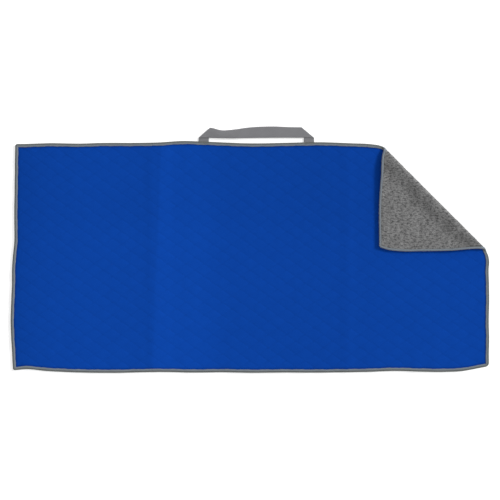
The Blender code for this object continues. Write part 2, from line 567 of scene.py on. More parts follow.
def repeat_along(bm: bmesh.types.BMesh, count: int, pitch: float) -> None:
    """Repeats what the bmesh holds in a row, doubling the row until it is whole.

    Args:
        bm: Holds the first of the row.
        count: How many the row has.
        pitch: Distance between two of them, along X.
    """
    each = len(bm.verts), len(bm.edges), len(bm.faces)
    made = 1
    while made < count:
        added = min(made, count - made)
        kinds = zip((bm.verts, bm.edges, bm.faces), each)
        first = [part for parts, number in kinds for part in parts[: added * number]]
        copied = bmesh.ops.duplicate(bm, geom=first)["geom"]
        points = [part for part in copied if isinstance(part, bmesh.types.BMVert)]
        bmesh.ops.translate(bm, verts=points, vec=(made * pitch, 0.0, 0.0))
        made += added


def panel_slab(folds: Folds, panel: Panel, inset: float, step: float) -> bmesh.types.BMesh:
    """One ply's slab for a panel, cut on the diagonal where it meets the corner.

    Args:
        folds: The panels' places.
        panel: The panel.
        inset: How far the ply's edge is in from the towel's bound edges.
        step: Side of a face.

    Returns:
        The slab, from height 0 to height 1.
    """
    first, last = folds.span(panel)
    end, side = folds.cut.half_length - inset, folds.cut.half_width - inset
    low_side = folds.seam - folds.cut.half_length if panel is Panel.CORNER else -side
    bm = flat_cut((max(first, -end), low_side), (min(last, end), side), step)
    if panel in (Panel.RIGHT, Panel.CORNER):
        bmesh.ops.bisect_plane(
            bm,
            geom=bm.faces[:] + bm.edges[:] + bm.verts[:],
            dist=1e-6,
            plane_co=(folds.seam / 2, folds.seam / 2, 0.0),
            plane_no=(1.0, 1.0, 0.0),
            clear_outer=panel is Panel.RIGHT,
            clear_inner=panel is Panel.CORNER,
        )
    thicken(bm)
    return bm


def read_points(mesh: bpy.types.Mesh) -> Points:
    """The mesh's points.

    Args:
        mesh: The mesh.

    Returns:
        Rows of x, y and z.
    """
    points = np.empty(len(mesh.vertices) * 3, np.float32)
    mesh.vertices.foreach_get("co", points)
    return points.reshape(-1, 3).astype(float)


def make_piece(
    name: str,
    bm: bmesh.types.BMesh,
    shape: Callable[[Points], Points],
    material: bpy.types.Material,
    nodes: tuple[str, ...] = (),
) -> bpy.types.Object:
    """Turns a flat cut into a finished piece.

    Args:
        name: The piece's name.
        bm: The flat cut, which is freed.
        shape: Gives the laid place of each flat point.
        material: The piece's finish.
        nodes: The CAD nodes that the piece stands for.

    Returns:
        The piece, at the origin, with its flat place in its UV map.
    """
    mesh = bpy.data.meshes.new(name)
    bm.to_mesh(mesh)
    bm.free()
    flat = read_points(mesh)
    ends = np.empty(len(mesh.loops), np.int32)
    mesh.loops.foreach_get("vertex_index", ends)
    layer = mesh.uv_layers.new(name=FLAT_MAP)
    layer.data.foreach_set("uv", flat[ends, :2].astype(np.float32).ravel())
    mesh.vertices.foreach_set("co", shape(flat).astype(np.float32).ravel())
    mesh.materials.append(material)
    mesh.shade_smooth()
    mesh.update()
    piece = bpy.data.objects.new(name, mesh)
    bpy.context.scene.collection.objects.link(piece)
    if nodes:
        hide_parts(*nodes)
    return piece


# ---------------------------------------------------------------------------------------------------
# Shader maths
# ---------------------------------------------------------------------------------------------------


class Signal:
    """A shader value, on which arithmetic adds Math nodes."""

    def __init__(self, paint: "Paint", socket: bpy.types.NodeSocket) -> None:
        """Wraps an output socket."""
        self.paint = paint
        self.socket = socket

    def math(self, operation: str, *values: Any) -> "Signal":
        """One Math node on these values."""
        return self.paint.add("ShaderNodeMath", {"operation": operation}, dict(enumerate(values)))

    def __add__(self, other: Any) -> "Signal":
        """Sum."""
        return self.math("ADD", self, other)

    def __radd__(self, other: Any) -> "Signal":
        """Sum, with the number first."""
        return self.math("ADD", other, self)

    def __sub__(self, other: Any) -> "Signal":
        """Difference."""
        return self.math("SUBTRACT", self, other)

    def __rsub__(self, other: Any) -> "Signal":
        """Difference, with the number first."""
        return self.math("SUBTRACT", other, self)

    def __mul__(self, other: Any) -> "Signal":
        """Product."""
        return self.math("MULTIPLY", self, other)

    def __rmul__(self, other: Any) -> "Signal":
        """Product, with the number first."""
        return self.math("MULTIPLY", other, self)

    def __truediv__(self, other: Any) -> "Signal":
        """Quotient."""
        return self.math("DIVIDE", self, other)

    def sine(self) -> "Signal":
        """Sine, in radians."""
        return self.math("SINE", self)

    def magnitude(self) -> "Signal":
        """Absolute value."""
        return self.math("ABSOLUTE", self)

    def near(self, centre: float, width: float) -> "Signal":
        """A smooth hump, 1 at centre and small past width from it."""
        offset = (self - centre) / width
        return self.math("EXPONENT", -1.0 * offset * offset)

    def above(self, start: float, full: float) -> "Signal":
        """A smooth step from 0 at start to 1 at full."""
        settings = {"interpolation_type": "SMOOTHSTEP"}
        return self.paint.add("ShaderNodeMapRange", settings, {"Value": self, 1: start, 2: full})


class Paint:
    """The node tree of one finish."""

    def __init__(self, name: str) -> None:
        """Starts a material with a Principled BSDF.

        Args:
            name: The material's name.
        """
        self.material = bpy.data.materials.new(name)
        self.material.use_nodes = True
        self.tree = self.material.node_tree
        self.shader = self.tree.nodes["Principled BSDF"]

    def add(self, kind: str, settings: dict[str, Any], values: dict[Any, Any], output: Any = 0) -> Signal:
        """Adds a node.

        Args:
            kind: The node's type.
            settings: Its settings, set first.
            values: Its sockets' values or links, by name or number.
            output: The output that is wanted, by name or number.

        Returns:
            That output.
        """
        node = self.tree.nodes.new(kind)
        for key, value in settings.items():
            setattr(node, key, value)
        for key, value in values.items():
            self.feed(node.inputs[key], value)
        return Signal(self, node.outputs[output])

    def feed(self, socket: bpy.types.NodeSocket, value: Any) -> None:
        """Links a signal to a socket, or sets its value.

        Args:
            socket: The socket.
            value: The signal, or the value.
        """
        if isinstance(value, Signal):
            self.tree.links.new(value.socket, socket)
        elif socket.type == "RGBA" and len(value) == 3:
            socket.default_value = (*value, 1.0)
        else:
            socket.default_value = value

    def flat(self) -> tuple[Signal, Signal, Signal]:
        """The piece's flat place.

        Returns:
            Its place along, its place across, and both as a vector.
        """
        place = self.add("ShaderNodeUVMap", {"uv_map": FLAT_MAP}, {})
        split = self.tree.nodes.new("ShaderNodeSeparateXYZ")
        self.tree.links.new(place.socket, split.inputs[0])
        return Signal(self, split.outputs[0]), Signal(self, split.outputs[1]), place

    def noise(self, place: Signal, scale: float, detail: float = 2.0, stretch: tuple = (1, 1, 1)) -> Signal:
        """Noise on the flat place.

        Args:
            place: Where, as a vector.
            scale: Cells to the metre.
            detail: How many finer layers it has.
            stretch: Scale of each axis, for streaks.

        Returns:
            Noise from 0 to 1.
        """
        at = self.add("ShaderNodeMapping", {}, {"Vector": place, "Scale": stretch})
        return self.add("ShaderNodeTexNoise", {}, {"Vector": at, "Scale": scale, "Detail": detail})

    def mix(self, share: Any, first: Any, second: Any) -> Signal:
        """One colour mixed into another.

        Args:
            share: Share of the second.
            first: The first colour.
            second: The second colour.

        Returns:
            The mixed colour.
        """
        settings = {"data_type": "RGBA"}
        return self.add("ShaderNodeMix", settings, {0: share, 6: first, 7: second}, 2)

    def shade(self, colour: Any, amount: Signal) -> Signal:
        """A colour made lighter or darker by a factor.

        Args:
            colour: The colour.
            amount: The factor, 1 for no change.

        Returns:
            The shaded colour.
        """
        settings = {"data_type": "RGBA", "blend_type": "MULTIPLY"}
        grey = self.add("ShaderNodeCombineColor", {}, {0: amount, 1: amount, 2: amount})
        return self.add("ShaderNodeMix", settings, {0: 1.0, 6: colour, 7: grey}, 2)

    def bump(self, height: Signal, distance: float, strength: float) -> Signal:
        """A Bump node for the shader's Normal.

        Args:
            height: Height from 0 to 1.
            distance: What 1 stands for, in metres.
            strength: Share of the bump that shows.

        Returns:
            The bumped normal.
        """
        values = {"Height": height, "Distance": distance, "Strength": strength}
        return self.add("ShaderNodeBump", {}, values)

    def finish(self, **values: Any) -> bpy.types.Material:
        """Feeds the shader's sockets.

        Args:
            values: What each socket takes, by its name with _ for a space.

        Returns:
            The material.
        """
        for key, value in values.items():
            self.feed(self.shader.inputs[key.replace("_", " ")], value)
        return self.material


# ---------------------------------------------------------------------------------------------------
# Finishes
# ---------------------------------------------------------------------------------------------------


@dataclass(frozen=True)
class Quilting:
    """Half-drop diamonds pressed into the face cloth.

    Attributes:
        length: A diamond's diagonal along the towel.
        width: Its diagonal across the towel.
        puff: How far its middle stands up.
        roundness: Power of the puff's outline, lower for a fuller diamond.
        tape: How far in from the bound edge it is pressed flat by the tape.
        rim: How far in the puff is whole again.
    """

    length: float = 0.039
    width: float = 0.0273
    puff: float = 0.00038
    roundness: float = 0.7
    tape: float = 0.007
    rim: float = 0.016

    def relief(self, lay: Lay, along: Points, across: Points) -> Points:
        """Height of the quilted face over its pressed lines.

        Args:
            lay: How the towel lies, for its edges.
            along: Places along the towel.
            across: Places across it.

        Returns:
            Heights, in metres.
        """
        u, v = along / self.length, across / self.width
        crown = np.abs(np.sin(math.pi * (u + v)) * np.sin(math.pi * (v - u))) ** self.roundness
        inner = smooth_step((lay.edge_distance(along, across) - self.tape) / (self.rim - self.tape))
        return self.puff * crown * inner


@dataclass(frozen=True)
class FaceFinish:
    """Blue quilted microfibre face.

    Attributes:
        quilting: The pattern that it is pressed in.
        lay: How the towel lies, for its edges.
        colour: The cloth's colour.
        line_shade: Brightness of the pressed quilting lines.
        crossing_shade: How much darker the lines' crossings are.
        loop_pitch: Pitch of the fine knit.
        tape_reach: How far in from the edge the tape reaches.
        tape_fade: How wide the nook beside the tape is.
        tape_nook_painted_shade: How much darker the cloth is painted in that nook, as painted shade beside
            the tape.
        crease_step: Where the lighter cloth beside the left crease begins and is whole, along the towel.
        crease_slant: How far the crease runs along the towel for each metre across it.
        crease_sheen_and_nap: Centre, width and change of tone of that lighter cloth: partly painted sheen
            beside the crease, partly the nap's own tone.
        bands: Centre, width and change of tone of each broad band over the cloth, along the towel.
        far_side: Where the darker far side begins and is whole, across the towel, and its change of tone.
    """

    quilting: Quilting
    lay: Lay
    colour: tuple[float, float, float] = (0.0030, 0.0500, 0.3270)
    line_shade: float = 0.965
    crossing_shade: float = 0.06
    loop_pitch: float = 0.0016
    tape_reach: float = 0.0073
    tape_fade: float = 0.005
    tape_nook_painted_shade: float = 0.27
    crease_step: tuple[float, float] = (-0.2015, -0.1945)
    crease_slant: float = 0.04
    crease_sheen_and_nap: tuple[float, float, float] = (-0.180, 0.030, 0.11)
    bands: tuple[tuple[float, float, float], ...] = (
        (-0.515, 0.060, -0.13),
        (-0.330, 0.060, 0.03),
        (-0.115, 0.045, 0.08),
        (0.150, 0.110, -0.04),
    )
    far_side: tuple[float, float, float] = (0.04, 0.10, -0.035)

    def make(self) -> bpy.types.Material:
        """Builds the material.

        Returns:
            The face cloth's material.
        """
        paint = Paint("face_cloth_finish")
        along, across, place = paint.flat()
        first = ((along / self.quilting.length + across / self.quilting.width) * math.pi).sine().magnitude()
        second = ((across / self.quilting.width - along / self.quilting.length) * math.pi).sine().magnitude()
        line = first.math("MINIMUM", first, second)
        pressed = 1.0 - line.above(0.0, 0.22)
        ribs = (along * (2 * math.pi / self.loop_pitch)).sine() * (
            across * (2 * math.pi / self.loop_pitch)
        ).sine()
        mottle = paint.noise(place, 9.0, 3.0)
        patches = paint.noise(place, 48.0, 1.0)
        crossing = (1.0 - first.above(0.0, 0.45)) * (1.0 - second.above(0.0, 0.45))
        ends = self.lay.cut.half_length - along.magnitude()
        sides = self.lay.cut.half_width - across.magnitude()
        edge = ends.math("MINIMUM", ends, sides)
        # Painted shade: the cloth is darkened in the nook along the tape's inner edge.
        tape_nook_shade_mask = 1.0 - edge.above(self.tape_reach, self.tape_reach + self.tape_fade)
        fibre = paint.noise(place, 900.0, 2.0)
        # Partly painted sheen, partly the nap's own tone: the cloth beside the left crease is painted
        # lighter.
        beside_crease = (along - self.crease_slant * across).above(*self.crease_step)
        centre, width, change = self.crease_sheen_and_nap
        tone = 1.0 + change * along.near(centre, width) * beside_crease
        for centre, width, change in self.bands:
            tone = tone + change * along.near(centre, width)
        start, full, change = self.far_side
        tone = (
            tone
            + change * across.above(start, full)
            + 0.06 * (mottle - 0.5)
            + 0.09 * (patches - 0.5)
            + 0.08 * (fibre - 0.5)
            - (1.0 - self.line_shade) * pressed
            - self.crossing_shade * crossing
            - self.tape_nook_painted_shade * tape_nook_shade_mask
        )
        height = 0.30 * line.above(0.0, 0.45) + 0.10 * ribs + 0.25 * fibre
        return paint.finish(
            Base_Color=paint.shade(self.colour, tone),
            Roughness=0.90,
            Specular_IOR_Level=0.02,
            Sheen_Weight=0.04,
            Sheen_Roughness=0.5,
            Sheen_Tint=(0.05, 0.25, 0.90, 1.0),
            Normal=paint.bump(height, 0.0006, 0.8),
        )


@dataclass(frozen=True)
class PlushFinish:
    """Grey plush pile, with painted shade down between its clumps and painted light and shade beside the
    corner's fold.

    Attributes:
        lay: How the towel lies, for the strip beside the corner's fold.
        colour: The pile's colour.
        pile_hollow_shade: Painted shade down between the clumps, mixed in where the pile's bump is low.
        fold_painted_light_bands: Distance past the corner's fold line, width and change of tone of each band
            beside it: a painted highlight along the fold's ridge and a painted shade band behind it.
    """

    lay: Lay
    colour: tuple[float, float, float] = (0.215, 0.215, 0.215)
    pile_hollow_shade: tuple[float, float, float] = (0.046, 0.046, 0.047)
    fold_painted_light_bands: tuple[tuple[float, float, float], ...] = ((0.001, 0.006, 0.25), (0.024, 0.014, -0.30))

    def make(self) -> bpy.types.Material:
        """Builds the material.

        Returns:
            The plush's material.
        """
        paint = Paint("plush_finish")
        along, across, place = paint.flat()
        past_fold = (along + across - self.lay.cut.corner_line) / math.sqrt(2)
        clumps = paint.noise(place, 300.0, 2.0, (1.0, 0.50, 1.0))
        fine = paint.noise(place, 620.0, 2.0, (0.6, 1.0, 1.0))
        patches = paint.noise(place, 38.0, 2.0)
        tone = 1.0 + 0.60 * (patches - 0.5)
        # Painted highlight along the fold's ridge, then a painted shade band where the turned cloth slopes
        # away from the light.
        for centre, width, change in self.fold_painted_light_bands:
            tone = tone + change * past_fold.near(centre, width)
        # Painted shade: the colour goes near-black down between the clumps, where the bump is low.
        depth = (clumps * 0.6 + fine * 0.4).above(0.30, 0.62)
        return paint.finish(
            Base_Color=paint.shade(paint.mix(depth, self.pile_hollow_shade, self.colour), tone),
            Roughness=0.96,
            Specular_IOR_Level=0.10,
            Sheen_Weight=0.12,
            Sheen_Roughness=0.6,
            Sheen_Tint=(0.85, 0.85, 0.85, 1.0),
            Normal=paint.bump(clumps * 0.5 + fine * 0.5, 0.0022, 1.0),
        )


@dataclass(frozen=True)
class TapeFinish:
    """Ribbed grey edge tape, whose flat place is along it and across it.

    Attributes:
        lip: Lit colour of the lips over the cloth, painted light: lighter and bluer than the nose, as the
            flat lips face the light and catch bounce off the blue cloth.
        shaded_nose: Colour round the outer fold, painted shade where the rounded fold turns away from the
            light.
        lip_start: Where the upper lip begins and is whole, across the tape.
        rib: Pitch of the ribs across the tape.
        pick: Pitch of the yarns along it.
    """

    lip: tuple[float, float, float] = (0.182, 0.208, 0.240)
    shaded_nose: tuple[float, float, float] = (0.106, 0.116, 0.111)
    lip_start: tuple[float, float] = (0.0035, 0.0060)
    rib: float = 0.0011
    pick: float = 0.0008

    def make(self) -> bpy.types.Material:
        """Builds the material.

        Returns:
            The tape's material.
        """
        paint = Paint("edge_tape_finish")
        along, across, place = paint.flat()
        # Painted light and shade on one grey tape: a lit, bluish colour on the lips and a shaded colour
        # round the nose; on the lower lip the lit colour is a strip next to the nose, with shade further in.
        lip = across.above(*self.lip_start)
        underlip = across.above(0.0002, -0.0012) * across.above(-0.0062, -0.0048)
        ribs = (along * (2 * math.pi / self.rib)).sine() * 0.5 + 0.5
        picks = (across * (2 * math.pi / self.pick)).sine() * 0.5 + 0.5
        wear = paint.noise(place, 60.0, 3.0)
        fibre = paint.noise(place, 1500.0, 1.0)
        tone = 0.90 + 0.10 * ribs + 0.18 * (wear - 0.5) + 0.10 * (fibre - 0.5)
        return paint.finish(
            Base_Color=paint.shade(paint.mix(lip + underlip, self.shaded_nose, self.lip), tone),
            Roughness=0.74,
            Specular_IOR_Level=0.25,
            Normal=paint.bump(ribs * 0.7 + picks * 0.2 + fibre * 0.2, 0.00022, 0.8),
        )


@dataclass(frozen=True)
class WebbingFinish:
    """Plain-woven grey webbing, whose flat place is across it and along it.

    Attributes:
        colour: The yarn's colour.
        pitch: Pitch of the warp yarns.
    """

    colour: tuple[float, float, float] = (0.190, 0.191, 0.202)
    pitch: float = 0.0018

    def make(self) -> bpy.types.Material:
        """Builds the material.

        Returns:
            The webbing's material.
        """
        paint = Paint("webbing_finish")
        along, across, place = paint.flat()
        warp = (along * (2 * math.pi / self.pitch)).sine()
        weft = (across * (2 * math.pi / (self.pitch * 0.8))).sine()
        weave = warp * weft * 0.5 + 0.5
        wear = paint.noise(place, 45.0, 3.0)
        fibre = paint.noise(place, 1300.0, 1.0)
        tone = 0.90 + 0.14 * weave + 0.16 * (wear - 0.5) + 0.14 * (fibre - 0.5)
        return paint.finish(
            Base_Color=paint.shade(self.colour, tone),
            Roughness=0.70,
            Specular_IOR_Level=0.30,
            Normal=paint.bump(weave * 0.7 + fibre * 0.3, 0.00035, 0.9),
        )


@dataclass(frozen=True)
class ThreadFinish:
    """Twisted grey sewing thread.

    Attributes:
        colour: The thread's colour.
        twist: Pitch of the twist.
    """

    colour: tuple[float, float, float] = (0.170, 0.180, 0.195)
    twist: float = 0.0006

    def make(self) -> bpy.types.Material:
        """Builds the material.

        Returns:
            The thread's material.
        """
        paint = Paint("thread_finish")
        along, across, place = paint.flat()
        strands = ((along + across) * (2 * math.pi / self.twist)).sine() * 0.5 + 0.5
        tone = 0.85 + 0.20 * strands + 0.2 * (paint.noise(place, 150.0) - 0.5)
        return paint.finish(
            Base_Color=paint.shade(self.colour, tone),
            Roughness=0.60,
            Specular_IOR_Level=0.35,
            Normal=paint.bump(strands, 0.00008, 0.8),
        )


# ---------------------------------------------------------------------------------------------------
# Pieces
# ---------------------------------------------------------------------------------------------------


@dataclass
class FaceCloth:
    """The blue quilted face, in four panels.

    Attributes:
        lay: How the towel lies.
        folds: How its pieces move.
        quilting: Its diamonds.
        inset: How far its edge is in from the towel's.
        steps: Side of a face of each panel's mesh.
        turn: Heights between which the corner goes over from one body to the other.
    """

    lay: Lay
    folds: Folds
    quilting: Quilting
    inset: float = 0.0012
    steps: dict[Panel, float] = field(
        default_factory=lambda: {
            Panel.LEFT: 0.0022,
            Panel.MIDDLE: 0.0023,
            Panel.RIGHT: 0.0022,
            Panel.CORNER: 0.0012,
        }
    )
    turn: tuple[float, float] = (0.0050, 0.0080)

    def shape(self, flat: Points) -> Points:
        """Lays the ply, with its quilted relief on top.

        Args:
            flat: Flat points, with height 0 at its back and 1 at its top.

        Returns:
            Laid points.
        """
        cut = self.lay.cut
        drawn = self.lay.rounded(flat, self.inset)
        along, across, level = drawn.T
        relief = self.quilting.relief(self.lay, along, across)
        drawn[:, 2] = cut.face_back + level * (cut.face_top - cut.face_back + relief)
        return self.lay.place(drawn)

    def smooth_normals(self, piece: bpy.types.Object) -> None:
        """Gives the cloth the normals of the whole laid face, so that no seam shows between panels.

        Args:
            piece: A finished panel.
        """
        mesh = piece.data
        ends = np.empty(len(mesh.loops), np.int32)
        mesh.loops.foreach_get("vertex_index", ends)
        maps = np.empty(len(mesh.loops) * 2, np.float32)
        mesh.uv_layers[FLAT_MAP].data.foreach_get("uv", maps)
        flat = np.ones((len(mesh.vertices), 3))
        flat[ends, :2] = maps.reshape(-1, 2)
        nudge = 0.0004
        slopes = [
            self.shape(flat + np.array(way) * nudge) - self.shape(flat - np.array(way) * nudge)
            for way in ((1, 0, 0), (0, 1, 0))
        ]
        normals = np.cross(slopes[0], slopes[1])
        normals /= np.linalg.norm(normals, axis=1)[:, None] + 1e-12
        own = np.empty(len(mesh.vertices) * 3, np.float32)
        mesh.vertex_normals.foreach_get("vector", own)
        own = own.reshape(-1, 3)
        facing = (own * normals).sum(1)
        chosen = np.where((facing > 0.3)[:, None], normals, own)
        mesh.normals_split_custom_set_from_vertices(chosen.tolist())

    def build(self, panel: Panel, material: bpy.types.Material) -> bpy.types.Object:
        """Makes one panel.

        Args:
            panel: The panel.
            material: The face finish.

        Returns:
            The piece.
        """
        bm = panel_slab(self.folds, panel, self.inset, self.steps[panel])
        name = f"quilted_face_{panel.value}"
        node = f"face_cloth_{panel.value}"
        piece = make_piece(name, bm, self.shape, material, (node,))
        self.smooth_normals(piece)
        self.folds.carry(piece, panel, self.turn)
        return piece


@dataclass
class PlushBacking:
    """The grey plush under the face, in four panels, with its pile downwards.

    Attributes:
        lay: How the towel lies.
        folds: How its pieces move.
        inset: How far its edge is in from the towel's.
        pile: Depth of the hollows between the clumps.
        rim_rise: How far the tape squeezes the pile up along a bound edge.
        rim: How far in from the edge that squeezed strip ends.
        rim_fade: How wide the slope at its end is.
        ragged: How far that end wanders.
        steps: Side of a face of each panel's mesh.
        turn: Heights between which the corner goes over from one body to the other.
    """

    lay: Lay
    folds: Folds
    inset: float = 0.0012
    pile: float = 0.0011
    rim_rise: float = 0.0012
    rim: float = 0.0062
    rim_fade: float = 0.0022
    ragged: float = 0.0012
    steps: dict[Panel, float] = field(
        default_factory=lambda: {
            Panel.LEFT: 0.0026,
            Panel.MIDDLE: 0.0026,
            Panel.RIGHT: 0.0026,
            Panel.CORNER: 0.0009,
        }
    )
    turn: tuple[float, float] = (0.0032, 0.0098)

    def __post_init__(self) -> None:
        """Draws the pile's clumps."""
        self.clumps = ClumpNoise(11, 0.0052)
        self.tufts = ClumpNoise(12, 0.0023)
        self.fibres = ClumpNoise(13, 0.0012)

    def hollow(self, along: Points, across: Points) -> Points:
        """How deep the pile is parted, from 0 at a clump's tip.

        Args:
            along: Flat places along the towel.
            across: Flat places across it.

        Returns:
            Depths from 0 to 1.
        """
        leaning = along * 0.8 + across * 0.35
        upright = across * 0.55 - along * 0.25
        clump = self.clumps(leaning, upright)
        tuft = self.tufts(leaning * 1.1, upright * 0.9)
        fibre = self.fibres(along, across * 0.7)
        return np.clip(0.45 * clump + 0.35 * tuft + 0.30 * fibre - 0.15, 0.0, 1.0)

    def shape(self, flat: Points) -> Points:
        """Lays the ply, with its pile parted below.

        Args:
            flat: Flat points, with height 0 at the pile's tips and 1 at the ply's back.

        Returns:
            Laid points.
        """
        cut = self.lay.cut
        drawn = self.lay.rounded(flat, self.inset)
        along, across, level = drawn.T
        edge = self.lay.edge_distance(along, across)
        wander = self.ragged * (self.tufts(along * 0.8, across * 0.8) - 0.5)
        squeezed = smooth_step((self.rim + wander - edge) / self.rim_fade)
        depth = self.pile * self.hollow(along, across) * (1 - squeezed) + self.rim_rise * squeezed
        drawn[:, 2] = depth + level * (cut.plush_back - depth)
        return self.lay.place(drawn)

    def build(self, panel: Panel, material: bpy.types.Material) -> bpy.types.Object:
        """Makes one panel.

        Args:
            panel: The panel.
            material: The plush finish.

        Returns:
            The piece.
        """
        bm = panel_slab(self.folds, panel, self.inset, self.steps[panel])
        name = f"pile_{panel.value}"
        node = f"plush_backing_{panel.value}"
        piece = make_piece(name, bm, self.shape, material, (node,))
        self.folds.carry(piece, panel, self.turn)
        return piece


class Route:
    """A stretch of the towel's outline, anticlockwise, that a tape is folded over."""

    FINE = 0.0005

    def __init__(self, lay: Lay, *corners: tuple[float, float]) -> None:
        """Works out stations along the outline.

        Args:
            lay: How the towel lies, for its size and its corners' radii.
            corners: The stretch's start, the square towel corners that it passes, and its end.
        """
        self.lay = lay
        centres, radii, outwards = [], [], []
        points = [Vector(corner) for corner in corners]
        rounds = [0.0] + [self.radius_at(point) for point in points[1:-1]] + [0.0]
        for i, (start, end) in enumerate(zip(points, points[1:])):
            step = (end - start).normalized()
            outward = Vector((step.y, -step.x))
            first, last = start + step * rounds[i], end - step * rounds[i + 1]
            count = max(2, math.ceil((last - first).length / self.FINE))
            for k in range(count + 1):
                centres.append(first.lerp(last, k / count))
                radii.append(0.0)
                outwards.append(outward)
            radius = rounds[i + 1]
            turns = math.ceil(radius * math.pi / 2 / self.FINE)
            for k in range(1, turns):
                angle = k / turns * math.pi / 2
                centres.append(last - outward * radius)
                radii.append(radius)
                outwards.append(outward * math.cos(angle) + step * math.sin(angle))
        self.centres, self.outwards = np.array(centres), np.array(outwards)
        self.radii = np.array(radii)
        ends = self.at_station(np.arange(len(radii)), np.zeros(len(radii)))
        lengths = np.linalg.norm(np.diff(ends, axis=0), axis=1)
        self.places = np.concatenate([[0.0], np.cumsum(lengths)])
        self.length = float(self.places[-1])

    def radius_at(self, corner: Vector) -> float:
        """The towel's radius at one of its corners.

        Args:
            corner: The square corner's place.

        Returns:
            The radius there.
        """
        bottom_left, bottom_right, top_right, top_left = self.lay.corner_radii
        if corner.y < 0:
            return bottom_right if corner.x > 0 else bottom_left
        return top_right if corner.x > 0 else top_left

    def at_station(self, station: Points, inset: Points) -> Points:
        """Flat places at whole stations, this far in from the edge.

        Args:
            station: Numbers of stations.
            inset: Distances in from the edge.

        Returns:
            Rows of place along and place across.
        """
        cut = self.lay.cut
        radius = self.radii[station]
        most = np.array([[cut.half_length, cut.half_width]]) - np.maximum(radius, inset)[:, None]
        centre = np.clip(self.centres[station], -most, most)
        return centre + np.maximum(radius - inset, 0.0)[:, None] * self.outwards[station]

    def at(self, along: Points, inset: Points) -> Points:
        """Flat places at these distances along the stretch and in from the edge.

        Args:
            along: Distances along the stretch.
            inset: Distances in from the edge.

        Returns:
            Rows of place along and place across.
        """
        station = np.interp(along, self.places, np.arange(len(self.places)))
        low = np.clip(np.floor(station).astype(int), 0, len(self.places) - 2)
        share = (station - low)[:, None]
        return self.at_station(low, inset) * (1 - share) + self.at_station(low + 1, inset) * share


